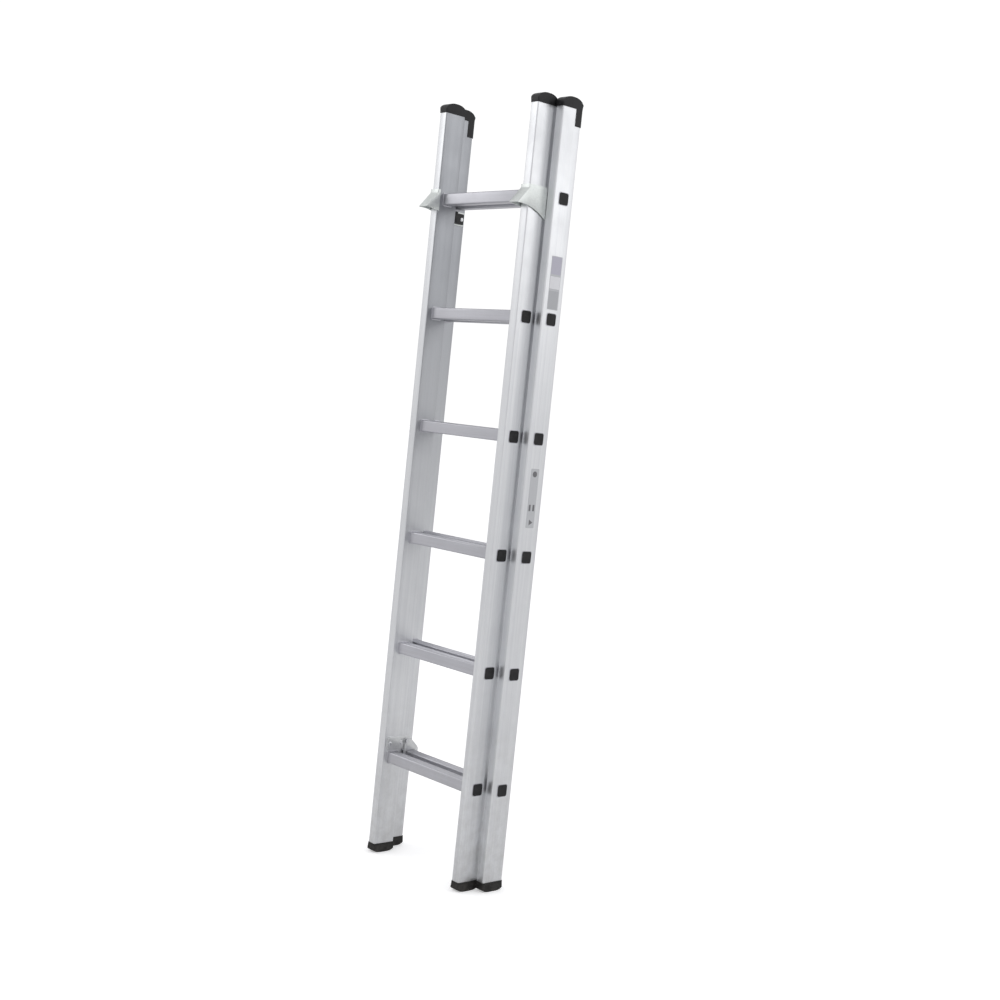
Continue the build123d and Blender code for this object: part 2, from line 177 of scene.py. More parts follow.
def pick(piece, kind, test):
    """Goes into edit mode with only the faces, edges or corners that pass the test selected."""
    choose(piece)
    bpy.ops.object.mode_set(mode="EDIT")
    bpy.ops.mesh.select_mode(type=kind)
    bpy.ops.mesh.select_all(action="DESELECT")
    bpy.ops.object.mode_set(mode="OBJECT")
    corners = piece.data.vertices
    if kind == "FACE":
        for face in piece.data.polygons:
            face.select = test(face.center, face.normal)
    elif kind == "EDGE":
        for edge in piece.data.edges:
            edge.select = test(corners[edge.vertices[0]].co, corners[edge.vertices[1]].co)
    else:
        for corner in corners:
            corner.select = test(corner.co)
    bpy.ops.object.mode_set(mode="EDIT")


def pick_all(piece, kind="FACE"):
    pick(piece, kind, lambda *anything: True)


def leave():
    bpy.ops.object.mode_set(mode="OBJECT")


def slice_at(piece, point, normal, drop=False):
    """Cuts new edges where a plane crosses; drop removes what lies on the normal's side."""
    pick_all(piece)
    bpy.ops.mesh.bisect(plane_co=point, plane_no=normal, clear_outer=drop)
    leave()


def push(move):
    bpy.ops.mesh.extrude_region_move(TRANSFORM_OT_translate={"value": move})


def swell(distance):
    """Extrudes the selected faces outwards along their own normals, or inwards if negative."""
    bpy.ops.mesh.extrude_region_shrink_fatten(
        TRANSFORM_OT_shrink_fatten={"value": distance, "use_even_offset": True})


def near(a, b, slack=0.05 * MM):
    return abs(a - b) < slack


def along(axis, a, b):
    """True where the edge from a to b runs along that axis only."""
    return all(near(a[i], b[i]) for i in range(3) if i != axis) and not near(a[axis], b[axis])


def round_edges(piece, test, radius, segments=3, profile=0.5):
    pick(piece, "EDGE", test)
    bpy.ops.mesh.bevel(offset=radius, segments=segments, affect="EDGES", profile=profile)
    leave()


def thicken(piece, thickness, offset=-1.0):
    choose(piece)
    wall = piece.modifiers.new("wall", "SOLIDIFY")
    wall.thickness = thickness
    wall.offset = offset
    wall.use_even_offset = True
    bpy.ops.object.modifier_apply(modifier="wall")


def soften(piece, radius, segments=2, sharper_than=40):
    """A small bevel on every edge that turns by more than the given angle."""
    choose(piece)
    edge = piece.modifiers.new("edge", "BEVEL")
    edge.width = radius
    edge.segments = segments
    edge.limit_method = "ANGLE"
    edge.angle_limit = math.radians(sharper_than)
    bpy.ops.object.modifier_apply(modifier="edge")


def merge(piece, distance=0.02 * MM):
    pick_all(piece, "VERT")
    bpy.ops.mesh.remove_doubles(threshold=distance)
    leave()


def volume(piece):
    piece.data.calc_loop_triangles()
    corners = piece.data.vertices
    total = 0.0
    for triangle in piece.data.loop_triangles:
        a, b, c = [corners[i].co for i in triangle.vertices]
        total += a.dot(b.cross(c)) / 6
    return total


def flip(piece):
    pick_all(piece)
    bpy.ops.mesh.flip_normals()
    leave()


def face_outwards(piece):
    if volume(piece) < 0:
        flip(piece)


def copy_of(piece, name, move=(0, 0, 0), mirrored=False):
    twin = piece.copy()
    twin.data = piece.data.copy()
    bpy.context.scene.collection.objects.link(twin)
    bpy.context.view_layer.objects.active = twin
    twin.location = move
    if mirrored:
        twin.scale = (-1, 1, 1)
    settle(name)
    face_outwards(twin)
    return twin


def join(name, pieces):
    choose(pieces[0])
    for piece in pieces:
        piece.select_set(True)
    bpy.ops.object.join()
    pieces[0].name = name
    pieces[0].data.name = name
    return pieces[0]


def unite(piece, other):
    """Welds another closed shape into the piece."""
    choose(piece)
    weld = piece.modifiers.new("weld", "BOOLEAN")
    weld.operation = "UNION"
    weld.solver = "EXACT"
    weld.object = other
    bpy.ops.object.modifier_apply(modifier="weld")
    bpy.data.objects.remove(other)


def turned(name, y, z, profile, corners=28):
    """A round part along X, built up from a disc one (x, radius) step at a time."""
    (x, radius), *steps = profile
    piece = add_disc(name, x, y, z, radius, corners)
    pick_all(piece)
    for next_x, next_radius in steps:
        push((next_x - x, 0, 0))
        share = next_radius / radius
        bpy.ops.transform.resize(value=(1, share, share), center_override=(next_x, y, z))
        x, radius = next_x, next_radius
    leave()
    face_outwards(piece)
    return piece


def finish_piece(piece, material, body, slot, *nodes, angle=35):
    """Smooths the piece, gives it its material, and hands it to its body."""
    choose(piece)
    bpy.ops.object.shade_smooth_by_angle(angle=math.radians(angle))
    piece.data.materials.clear()
    piece.data.materials.append(material)
    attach(piece, body)
    if nodes:
        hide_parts(*nodes)


def both_sides(piece, name, material, body, slot, node, angle=35):
    """Keeps the piece as the right-hand one and makes its mirror image for the left."""
    left = copy_of(piece, name + "_left", mirrored=True)
    piece.name = name + "_right"
    piece.data.name = piece.name
    for twin, side in ((piece, "right"), (left, "left")):
        rides_on = body if body in section_of.values() else body + "_" + side
        finish_piece(twin, material, rides_on, slot, node + "_" + side, angle=angle)


# ---------------------------------------------------------------- material helpers
def add_node(tree, kind, settings=None, **inputs):
    """A node with its settings and inputs; a socket given as a value is linked."""
    made = tree.nodes.new(kind)
    for key, value in (settings or {}).items():
        setattr(made, key, value)
    for key, value in inputs.items():
        feed(tree, made.inputs[key.replace("_", " ")], value)
    return made


def feed(tree, socket, value):
    if isinstance(value, bpy.types.NodeSocket):
        tree.links.new(value, socket)
    else:
        socket.default_value = value


def calc(tree, operation, first, second=0.0, clamp=False):
    made = tree.nodes.new("ShaderNodeMath")
    made.operation = operation
    made.use_clamp = clamp
    feed(tree, made.inputs[0], first)
    feed(tree, made.inputs[1], second)
    return made.outputs[0]


def remap(tree, value, from_low, from_high, to_low=0.0, to_high=1.0):
    made = tree.nodes.new("ShaderNodeMapRange")
    for index, item in enumerate((value, from_low, from_high, to_low, to_high)):
        feed(tree, made.inputs[index], item)
    return made.outputs[0]


def blend_colours(tree, factor, first, second, mode="MIX"):
    made = tree.nodes.new("ShaderNodeMix")
    made.data_type = "RGBA"
    made.blend_type = mode
    feed(tree, made.inputs[0], factor)
    feed(tree, made.inputs[6], first)
    feed(tree, made.inputs[7], second)
    return made.outputs[2]


def scale_vector(tree, vector, stretch):
    made = tree.nodes.new("ShaderNodeVectorMath")
    made.operation = "MULTIPLY"
    feed(tree, made.inputs[0], vector)
    feed(tree, made.inputs[1], stretch)
    return made.outputs[0]


def noise(tree, vector, scale, detail=3.0, rough=0.5):
    made = add_node(tree, "ShaderNodeTexNoise", None, Vector=vector, Scale=scale, Detail=detail,
                    Roughness=rough)
    return made.outputs["Fac"]


def new_group(name, ins, outs):
    """An empty node group with named sockets; returns its tree, input and output nodes."""
    tree = bpy.data.node_groups.new(name, "ShaderNodeTree")
    for socket, kind in ins:
        tree.interface.new_socket(name=socket, in_out="INPUT", socket_type="NodeSocket" + kind)
    for socket, kind in outs:
        tree.interface.new_socket(name=socket, in_out="OUTPUT", socket_type="NodeSocket" + kind)
    return tree, tree.nodes.new("NodeGroupInput"), tree.nodes.new("NodeGroupOutput")


def use_group(tree, group, **inputs):
    made = tree.nodes.new("ShaderNodeGroup")
    made.node_tree = group
    for key, value in inputs.items():
        feed(tree, made.inputs[key], value)
    return made.outputs


# ---------------------------------------------------------------- shared surface effects
def drawn_lines_group():
    """Fine lines that an extrusion die or a rolling mill leaves, long in one direction."""
    tree, given, out = new_group("drawn_lines", [("Place", "Vector"), ("Stretch", "Vector")],
                                 [("Tone", "Float"), ("Height", "Float")])
    lines = scale_vector(tree, given.outputs["Place"], given.outputs["Stretch"])
    fine = noise(tree, lines, 1.0, 4.0, 0.6)
    broad = noise(tree, lines, 0.13, 2.0, 0.5)
    tone = calc(tree, "ADD", calc(tree, "MULTIPLY", fine, 0.55), calc(tree, "MULTIPLY", broad, 0.45))
    tree.links.new(tone, out.inputs["Tone"])
    tree.links.new(fine, out.inputs["Height"])
    return tree


def handling_group():
    """Cloudy finger and storage marks, and a few thin scratches."""
    tree, given, out = new_group("handling_marks", [("Place", "Vector"), ("Size", "Float")],
                                 [("Smudge", "Float"), ("Scratch", "Float")])
    place = given.outputs["Place"]
    cloud = noise(tree, place, given.outputs["Size"], 4.0, 0.6)
    tree.links.new(remap(tree, cloud, 0.45, 0.72), out.inputs["Smudge"])
    tilt = add_node(tree, "ShaderNodeMapping", None, Vector=place, Rotation=(0.5, 0.35, 0.2),
                    Scale=(900.0, 900.0, 22.0)).outputs[0]
    lines = noise(tree, tilt, 1.0, 2.0, 0.5)
    patches = remap(tree, noise(tree, place, 9.0, 2.0, 0.5), 0.5, 0.62)
    scratch = calc(tree, "MULTIPLY", remap(tree, lines, 0.70, 0.76), patches)
    tree.links.new(scratch, out.inputs["Scratch"])
    return tree


def floor_dust_group():
    """Dust and scuffs that thin out with height above the floor."""
    tree, given, out = new_group("floor_dust", [("Place", "Vector"), ("Reach", "Float")],
                                 [("Dust", "Float")])
    place = given.outputs["Place"]
    height = add_node(tree, "ShaderNodeSeparateXYZ", None, Vector=place).outputs["Z"]
    fade = calc(tree, "SUBTRACT", 1.0, calc(tree, "DIVIDE", height, given.outputs["Reach"]), True)
    cloud = remap(tree, noise(tree, place, 38.0, 5.0, 0.65), 0.35, 0.75)
    tree.links.new(calc(tree, "MULTIPLY", fade, cloud), out.inputs["Dust"])
    return tree


def moulded_grain_group():
    """The spark-eroded grain of a plastic mould, with faint flow marks."""
    tree, given, out = new_group("moulded_grain", [("Place", "Vector"), ("Grain", "Float")],
                                 [("Height", "Float"), ("Tone", "Float")])
    place = given.outputs["Place"]
    grain = noise(tree, place, given.outputs["Grain"], 3.0, 0.7)
    flow = noise(tree, place, 55.0, 3.0, 0.55)
    tree.links.new(grain, out.inputs["Height"])
    tree.links.new(flow, out.inputs["Tone"])
    return tree


drawn_lines = drawn_lines_group()
handling_marks = handling_group()
floor_dust = floor_dust_group()
moulded_grain = moulded_grain_group()


# ---------------------------------------------------------------- materials
def new_material(name, **constants):
    """A material with its Principled shader's plain values set on its own sockets."""
    made = bpy.data.materials.new(name)
    made.use_nodes = True
    tree = made.node_tree
    shader = tree.nodes["Principled BSDF"]
    for key, value in constants.items():
        shader.inputs[key.replace("_", " ")].default_value = value
    place = tree.nodes.new("ShaderNodeTexCoord").outputs["Object"]
    return made, tree, shader, place


def add_bump(tree, shader, height, strength, distance):
    bump = add_node(tree, "ShaderNodeBump", None, Strength=strength, Distance=distance, Height=height)
    tree.links.new(bump.outputs["Normal"], shader.inputs["Normal"])


def painted_inner_shade(tree, place):
    """Painted shade mask: nought outside and low down, one on the upper faces that look towards the
    ladder's middle.
    """
    apart = add_node(tree, "ShaderNodeSeparateXYZ", None, Vector=place).outputs
    x = apart["X"]
    facing = tree.nodes.new("ShaderNodeTexCoord").outputs["Normal"]
    across = add_node(tree, "ShaderNodeSeparateXYZ", None, Vector=facing).outputs["X"]
    inward = calc(tree, "MULTIPLY", calc(tree, "MULTIPLY", across, -1.0), calc(tree, "SIGN", x))
    return calc(tree, "MULTIPLY", remap(tree, inward, 0.2, 0.9), remap(tree, apart["Z"], 0.5, 1.5))


def aluminium(name, light, dark, stretch, rough, dust_reach=0.5, with_painted_inner_shade=False):
    made, tree, shader, place = new_material(name, Metallic=1.0)
    lines = use_group(tree, drawn_lines, Place=place, Stretch=stretch)
    marks = use_group(tree, handling_marks, Place=place, Size=7.0)
    dust = use_group(tree, floor_dust, Place=place, Reach=dust_reach)["Dust"]
    tone = remap(tree, lines["Tone"], 0.35, 0.65)
    colour = blend_colours(tree, tone, dark, light)
    smudged = calc(tree, "MULTIPLY", marks["Smudge"], 0.22)
    colour = blend_colours(tree, smudged, colour, [c * 0.80 for c in dark[:3]] + [1])
    scratched = calc(tree, "MULTIPLY", marks["Scratch"], 0.5)
    colour = blend_colours(tree, scratched, colour, (0.9, 0.9, 0.92, 1))
    colour = blend_colours(tree, calc(tree, "MULTIPLY", dust, 0.45), colour, (0.46, 0.45, 0.43, 1))
    if with_painted_inner_shade:
        # painted shade: darkens the upper inner faces of the stiles towards dark grey
        colour = blend_colours(tree, painted_inner_shade(tree, place), colour, (0.36, 0.37, 0.39, 1))
    tree.links.new(colour, shader.inputs["Base Color"])
    roughness = remap(tree, lines["Tone"], 0.3, 0.7, rough - 0.05, rough + 0.06)
    roughness = calc(tree, "ADD", roughness, calc(tree, "MULTIPLY", marks["Smudge"], 0.08))
    roughness = calc(tree, "SUBTRACT", roughness, calc(tree, "MULTIPLY", marks["Scratch"], 0.12))
    tree.links.new(roughness, shader.inputs["Roughness"])
    add_bump(tree, shader, lines["Height"], 0.12, 0.0002)
    return made


def zinc(name, light, dark, rough):
    """Zinc-plated steel: a dull mottled spangle over faint rolling lines."""
    made, tree, shader, place = new_material(name, Metallic=1.0)
    cells = add_node(tree, "ShaderNodeTexVoronoi", None, Vector=place, Scale=260.0).outputs["Color"]
    spangle = add_node(tree, "ShaderNodeSeparateColor", None, Color=cells).outputs[0]
    lines = use_group(tree, drawn_lines, Place=place, Stretch=(700.0, 60.0, 700.0))
    marks = use_group(tree, handling_marks, Place=place, Size=30.0)
    rolled = calc(tree, "MULTIPLY", lines["Tone"], 0.8)
    tone = calc(tree, "ADD", calc(tree, "MULTIPLY", spangle, 0.2), rolled)
    colour = blend_colours(tree, remap(tree, tone, 0.3, 0.7), dark, light)
    colour = blend_colours(tree, calc(tree, "MULTIPLY", marks["Smudge"], 0.35), colour,
                           [c * 0.75 for c in dark[:3]] + [1])
    tree.links.new(colour, shader.inputs["Base Color"])
    roughness = remap(tree, tone, 0.25, 0.75, rough - 0.07, rough + 0.08)
    tree.links.new(roughness, shader.inputs["Roughness"])
    add_bump(tree, shader, tone, 0.15, 0.0002)
    return made


def moulded(name, tint, worn, rough, grain, dust_reach=0.0001, dust_colour=(0.33, 0.31, 0.28, 1)):
    made, tree, shader, place = new_material(name, Specular_IOR_Level=0.28)
    skin = use_group(tree, moulded_grain, Place=place, Grain=grain)
    marks = use_group(tree, handling_marks, Place=place, Size=45.0)
    dust = use_group(tree, floor_dust, Place=place, Reach=dust_reach)["Dust"]
    colour = blend_colours(tree, remap(tree, skin["Tone"], 0.35, 0.65), tint, worn)
    colour = blend_colours(tree, calc(tree, "MULTIPLY", marks["Smudge"], 0.3), colour, worn)
    colour = blend_colours(tree, calc(tree, "MULTIPLY", dust, 0.25), colour, dust_colour)
    tree.links.new(colour, shader.inputs["Base Color"])
    roughness = remap(tree, skin["Tone"], 0.3, 0.7, rough - 0.06, rough + 0.06)
    tree.links.new(roughness, shader.inputs["Roughness"])
    add_bump(tree, shader, skin["Height"], 0.25, 0.00015)
    return made


def printed_film(name, tint, rough):
    """Printed film: one plain ink with a faint mottle and a scuffed sheen."""
    made, tree, shader, place = new_material(name, Specular_IOR_Level=0.5)
    marks = use_group(tree, handling_marks, Place=place, Size=60.0)
    mottle = remap(tree, noise(tree, place, 400.0, 2.0, 0.5), 0.3, 0.7, 0.0, 0.12)
    colour = blend_colours(tree, mottle, tint, [c * 0.8 for c in tint[:3]] + [1])
    smudged = calc(tree, "MULTIPLY", marks["Smudge"], 0.15)
    colour = blend_colours(tree, smudged, colour, (0.5, 0.5, 0.5, 1))
    tree.links.new(colour, shader.inputs["Base Color"])
    roughness = remap(tree, marks["Smudge"], 0.0, 1.0, rough, rough + 0.15)
    tree.links.new(roughness, shader.inputs["Roughness"])
    return made


# the stile aluminium carries painted shade on its upper inner faces
stile_finish = aluminium("mill_aluminium_stile", (0.86, 0.87, 0.88, 1), (0.74, 0.75, 0.77, 1),
                         (900.0, 900.0, 7.0), 0.36, with_painted_inner_shade=True)
# painted shade: the rungs' aluminium is a darker copy of the stiles', standing in for the shade the
# rungs sit in; the grain along the rung is its own
rung_finish_painted_shade = aluminium("mill_aluminium_rung_painted_shade", (0.63, 0.63, 0.67, 1), (0.53, 0.53, 0.56, 1),
                         (9.0, 900.0, 900.0), 0.38)
sheet_finish = zinc("zinc_plated_sheet", (0.82, 0.85, 0.83, 1), (0.69, 0.72, 0.705, 1), 0.42)
plate_finish = zinc("zinc_plated_plate", (0.78, 0.79, 0.79, 1), (0.65, 0.66, 0.665, 1), 0.40)
fastener_finish = zinc("bright_zinc_fastener", (0.80, 0.81, 0.82, 1), (0.63, 0.64, 0.66, 1), 0.27)
spring_finish = zinc("drawn_spring_wire", (0.58, 0.59, 0.62, 1), (0.42, 0.43, 0.46, 1), 0.25)
plug_finish = moulded("black_plug_plastic", (0.010, 0.010, 0.011, 1), (0.022, 0.022, 0.023, 1),
                      0.46, 2600.0)
cap_finish = moulded("black_cap_plastic", (0.009, 0.009, 0.010, 1), (0.020, 0.020, 0.022, 1),
                     0.42, 2200.0)
foot_finish = moulded("black_foot_rubber", (0.008, 0.008, 0.008, 1), (0.022, 0.021, 0.020, 1), 0.62,
                      1500.0, 0.03)
film_finish = printed_film("clear_label_film", (0.56, 0.57, 0.59, 1), 0.34)
violet_print = printed_film("violet_grey_print", (0.51, 0.50, 0.58, 1), 0.4)
white_print = printed_film("white_print", (0.80, 0.80, 0.83, 1), 0.4)
grey_print = printed_film("grey_print", (0.47, 0.48, 0.50, 1), 0.4)
mark_ink = printed_film("mark_ink", (0.16, 0.16, 0.17, 1), 0.45)
nylon_finish = moulded("black_nylon", (0.014, 0.014, 0.015, 1), (0.03, 0.03, 0.03, 1), 0.38, 1900.0)


# ---------------------------------------------------------------- stiles
def make_stile(section):
    """Open tube cut for its rungs, then given its wall."""
    low, high = stile_boxes[section]
    piece = add_block(section + "_stile_right", low, high)
    pick(piece, "FACE", lambda centre, facing: abs(facing.z) > 0.9)
    bpy.ops.mesh.delete(type="FACE")
    leave()
    round_edges(piece, lambda a, b: along(2, a, b), STILE_CORNER, 4)
    half = RUNG / 2
    y = (low.y + high.y) / 2
    heights = [middle(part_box("%s_rung_%d" % (section, number))).z for number in rung_numbers]
    for z in heights:
        slice_at(piece, (0, 0, z - half), (0, 0, 1))
        slice_at(piece, (0, 0, z + half), (0, 0, 1))
    for edge in (y - half, y + half):
        slice_at(piece, (0, edge, 0), (0, 1, 0))

    def in_hole(centre, facing):
        level = any(abs(centre.z - z) < half for z in heights)
        return level and abs(centre.y - y) < half and abs(facing.x) > 0.9
    pick(piece, "FACE", in_hole)
    bpy.ops.mesh.delete(type="FACE")
    leave()
    thicken(piece, STILE_WALL)
    both_sides(piece, section + "_stile", stile_finish, section_of[section], "stile_aluminium",
               section + "_stile")


# ---------------------------------------------------------------- rungs
def make_rungs(section):
    """Square tube with a grooved tread; a collar inside and a flared rim outside each stile."""
    node = section + "_rung_1"
    low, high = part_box(node)
    centre = (low + high) / 2
    half = RUNG / 2
    end = high.x - RIM
    face = end - (stile_boxes[section][1].x - stile_boxes[section][0].x)
    piece = add_block(node, (low.x, centre.y - half, centre.z - half),
                      (high.x, centre.y + half, centre.z + half))
    round_edges(piece, lambda a, b: along(0, a, b), RUNG_CORNER, 4)
    for x in (end, face, face - COLLAR):
        slice_at(piece, (x, 0, 0), (1, 0, 0))
        slice_at(piece, (-x, 0, 0), (1, 0, 0))
    span = RUNG - 2 * RUNG_CORNER
    middles = [centre.y - span / 2 + span * (index + 0.5) / GROOVES for index in range(GROOVES)]
    for y in middles:
        slice_at(piece, (0, y - GROOVE_WIDTH / 2, 0), (0, 1, 0))
        slice_at(piece, (0, y + GROOVE_WIDTH / 2, 0), (0, 1, 0))

    def in_groove(spot, facing):
        level = any(abs(spot.y - y) < GROOVE_WIDTH / 2 for y in middles)
        return facing.z > 0.99 and level and abs(spot.x) < face - COLLAR
    pick(piece, "FACE", in_groove)
    push((0, 0, -GROOVE_DEPTH))
    leave()
    for side in (-1, 1):
        pick(piece, "FACE", lambda spot, facing:
             face - COLLAR < side * spot.x < face and abs(facing.x) < 0.5)
        swell(COLLAR_LIP)
        leave()
        pick(piece, "FACE", lambda spot, facing: end < side * spot.x and abs(facing.x) < 0.5)
        swell(RIM_LIP)
        leave()
        pick(piece, "FACE", lambda spot, facing: side * facing.x > 0.9 and near(side * spot.x, high.x))
        bpy.ops.mesh.inset(thickness=RIM_LIP + RUNG_WALL, use_even_offset=True)
        push((-side * 20 * MM, 0, 0))
        leave()
    outer = half + COLLAR_LIP

    def on_collar_rim(a, b):
        both_inner = near(abs(a.x), face - COLLAR) and near(abs(b.x), face - COLLAR)
        reach = [max(abs(p.y - centre.y), abs(p.z - centre.z)) for p in (a, b)]
        return both_inner and min(reach) > outer - RUNG_CORNER
    round_edges(piece, on_collar_rim, 0.7 * MM, 2)
    for number in rung_numbers:
        name = "%s_rung_%d" % (section, number)
        lift = middle(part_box(name)).z - centre.z
        rung = copy_of(piece, name, (0, 0, lift))
        finish_piece(rung, rung_finish_painted_shade, section_of[section], "rung_aluminium", name)
    bpy.data.objects.remove(piece)


# ---------------------------------------------------------------- rung plugs
def make_plugs(section):
    """Rounded head with a shallow dish and a gate mark, on a hollow spigot."""
    rung = middle(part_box(section + "_rung_1"))
    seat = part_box(section + "_rung_1")[1].x
    half = RUNG / 2
    name = section + "_rung_plug"
    piece = add_block(name, (seat, rung.y - half, rung.z - half),
                      (seat + PLUG_HEAD, rung.y + half, rung.z + half))
    round_edges(piece, lambda a, b: along(0, a, b), PLUG_CORNER, 5)
    pick(piece, "FACE", lambda spot, facing: facing.x > 0.9)
    bpy.ops.mesh.inset(thickness=0.5 * MM)
    bpy.ops.mesh.inset(thickness=1.5 * MM)
    push((-PLUG_DISH, 0, 0))
    leave()
    outer_x = seat + PLUG_HEAD

    def on_head_rim(a, b):
        reach = [max(abs(p.y - rung.y), abs(p.z - rung.z)) for p in (a, b)]
        return near(a.x, outer_x) and near(b.x, outer_x) and min(reach) > half - 3.0 * MM
    round_edges(piece, on_head_rim, 0.22 * MM, 2)
    pick(piece, "FACE", lambda spot, facing: facing.x < -0.9)
    bpy.ops.mesh.inset(thickness=1.7 * MM)
    push((-PLUG_REACH, 0, 0))
    bpy.ops.mesh.inset(thickness=PLUG_WALL)
    push((PLUG_REACH - PLUG_WALL, 0, 0))
    leave()
    gate_start, gate_end = outer_x - 0.6 * MM, outer_x - 0.1 * MM
    gate = turned("gate", rung.y, rung.z, [(gate_start, 2.5 * MM), (gate_end, 2.5 * MM)], 20)
    unite(piece, gate)
    for number in rung_numbers:
        lift = middle(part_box("%s_rung_%d" % (section, number))).z - rung.z
        for side in ("right", "left"):
            plug = copy_of(piece, "%s_%s_%d" % (name, side, number), (0, 0, lift), side == "left")
            finish_piece(plug, plug_finish, section_of[section], "black_plug",
                         "%s_rung_plugs_%s" % (section, side))
    bpy.data.objects.remove(piece)


# ---------------------------------------------------------------- feet and caps
def rounded_end(piece, y, z_edge, z_crown, land, low, high):
    """Turns a block's two end edges along X into an arc: stretched, bevelled round, then put back."""
    run = (high.y - low.y - land) / 2
    rise = abs(z_crown - z_edge)
    stretch = run / rise
    pivot = Vector((0, y, z_crown))

    def scale_height(factor):
        pick_all(piece, "VERT")
        bpy.ops.transform.resize(value=(1, 1, factor), center_override=pivot)
        leave()
    scale_height(stretch)
    round_edges(piece, lambda a, b: along(0, a, b) and near(a.z, z_crown), run * 0.999, 10)
    scale_height(1 / stretch)


def make_foot(section):
    """Foot with a curved, ribbed sole, a pocket for the stile and a spigot inside it."""
    name = section + "_foot"
    low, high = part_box(name + "_right")
    y = (low.y + high.y) / 2
    top = FOOT_SEAT + FOOT_SKIRT
    piece = add_block(name, low, (high.x, high.y, top))
    rounded_end(piece, y, FOOT_EDGE, low.z, FOOT_LAND, low, high)
    round_edges(piece, lambda a, b: along(2, a, b), STILE_CORNER + SLEEVE - 0.2 * MM, 4)
    pick(piece, "FACE", lambda spot, facing: facing.z > 0.9)
    bpy.ops.mesh.inset(thickness=SLEEVE - 0.02 * MM)
    push((0, 0, FOOT_SEAT - top))
    bpy.ops.mesh.inset(thickness=STILE_WALL + 0.1 * MM)
    push((0, 0, FOOT_SPIGOT))
    leave()
    ribs = 9
    pitch = (high.y - low.y) / ribs
    for index in range(1, ribs):
        for edge in (-0.9 * MM, 0.9 * MM):
            slice_at(piece, (0, low.y + index * pitch + edge, 0), (0, 1, 0))

    def in_channel(spot, facing):
        offset = (spot.y - low.y) / pitch
        close = abs(offset - round(offset)) * pitch < 0.9 * MM
        return facing.z < -0.35 and close and 0 < round(offset) < ribs and spot.z < FOOT_EDGE
    pick(piece, "FACE", in_channel)
    push((0, 0, 1.3 * MM))
    leave()
    x = (low.x + high.x) / 2
    pip = add_disc(name + "_pip", high.x - 0.1 * MM, y, FOOT_SEAT - 3.0 * MM, 3.0 * MM)
    pick_all(pip)
    push((0.45 * MM, 0, 0))
    bpy.ops.mesh.inset(thickness=0.8 * MM)
    push((0.25 * MM, 0, 0))
    leave()
    face_outwards(pip)
    other = copy_of(pip, name + "_pip_inner", (0, 0, 0))
    choose(other)
    other.location = (2 * x, 0, 0)
    other.scale = (-1, 1, 1)
    settle(name + "_pip_inner")
    face_outwards(other)
    piece = join(name, [piece, pip, other])
    both_sides(piece, name, foot_finish, section_of[section], "foot_rubber", name)


def make_cap(section):
    """Domed cap; the base's has a deep skirt round the stile's rear, which meets the wall."""
    name = section + "_cap"
    low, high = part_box(name + "_right")
    stile_low, stile_high = stile_boxes[section]
    y = (stile_low.y + stile_high.y) / 2
    top = stile_high.z
    rim = top - CAP_SKIRT
    fore, rear = stile_low.y - SLEEVE, stile_high.y + SLEEVE
    block_low = Vector((low.x, fore, rim))
    block_high = Vector((high.x, rear, high.z))
    piece = add_block(name, block_low, block_high)
    rounded_end(piece, y, top + CAP_EDGE, high.z, CAP_LAND, block_low, block_high)
    round_edges(piece, lambda a, b: along(2, a, b), STILE_CORNER + SLEEVE - 0.2 * MM, 4)
    pick(piece, "FACE", lambda spot, facing: facing.z < -0.9)
    bpy.ops.mesh.inset(thickness=SLEEVE - 0.02 * MM)
    push((0, 0, CAP_SKIRT))
    bpy.ops.mesh.inset(thickness=STILE_WALL + 0.1 * MM)
    push((0, 0, -CAP_SPIGOT))
    leave()
    if section == "base":
        split = stile_high.y - BUMPER_WRAP
        slice_at(piece, (0, split, 0), (0, 1, 0))
        pick(piece, "FACE", lambda spot, facing:
             facing.z < -0.9 and near(spot.z, rim) and spot.y > split)
        push((0, 0, CAP_SKIRT - BUMPER_DROP))
        leave()
        wall_side = high.y - rear
        pick(piece, "VERT", lambda corner: corner.y > rear - 0.5 * MM)
        bpy.ops.transform.translate(value=(0, wall_side, 0))
        leave()
    both_sides(piece, name, cap_finish, section_of[section], "cap_plastic", name)


# ---------------------------------------------------------------- guide brackets
def draw_out(piece, from_y, to_y, low_z, high_z, below):
    """Extrudes the sheet's front edge to a new place and sets where the new edge starts and ends."""
    pick(piece, "EDGE", lambda a, b:
         near(a.y, from_y) and near(b.y, from_y) and max(a.z, b.z) < below + 0.1 * MM)
    push((0, to_y - from_y, 0))
    leave()
    heights = [corner.co.z for corner in piece.data.vertices if near(corner.co.y, to_y)]
    for old, new in ((min(heights), low_z), (max(heights), high_z)):
        pick(piece, "VERT", lambda corner: near(corner.y, to_y) and near(corner.z, old))
        bpy.ops.transform.translate(value=(0, 0, new - old))
        leave()


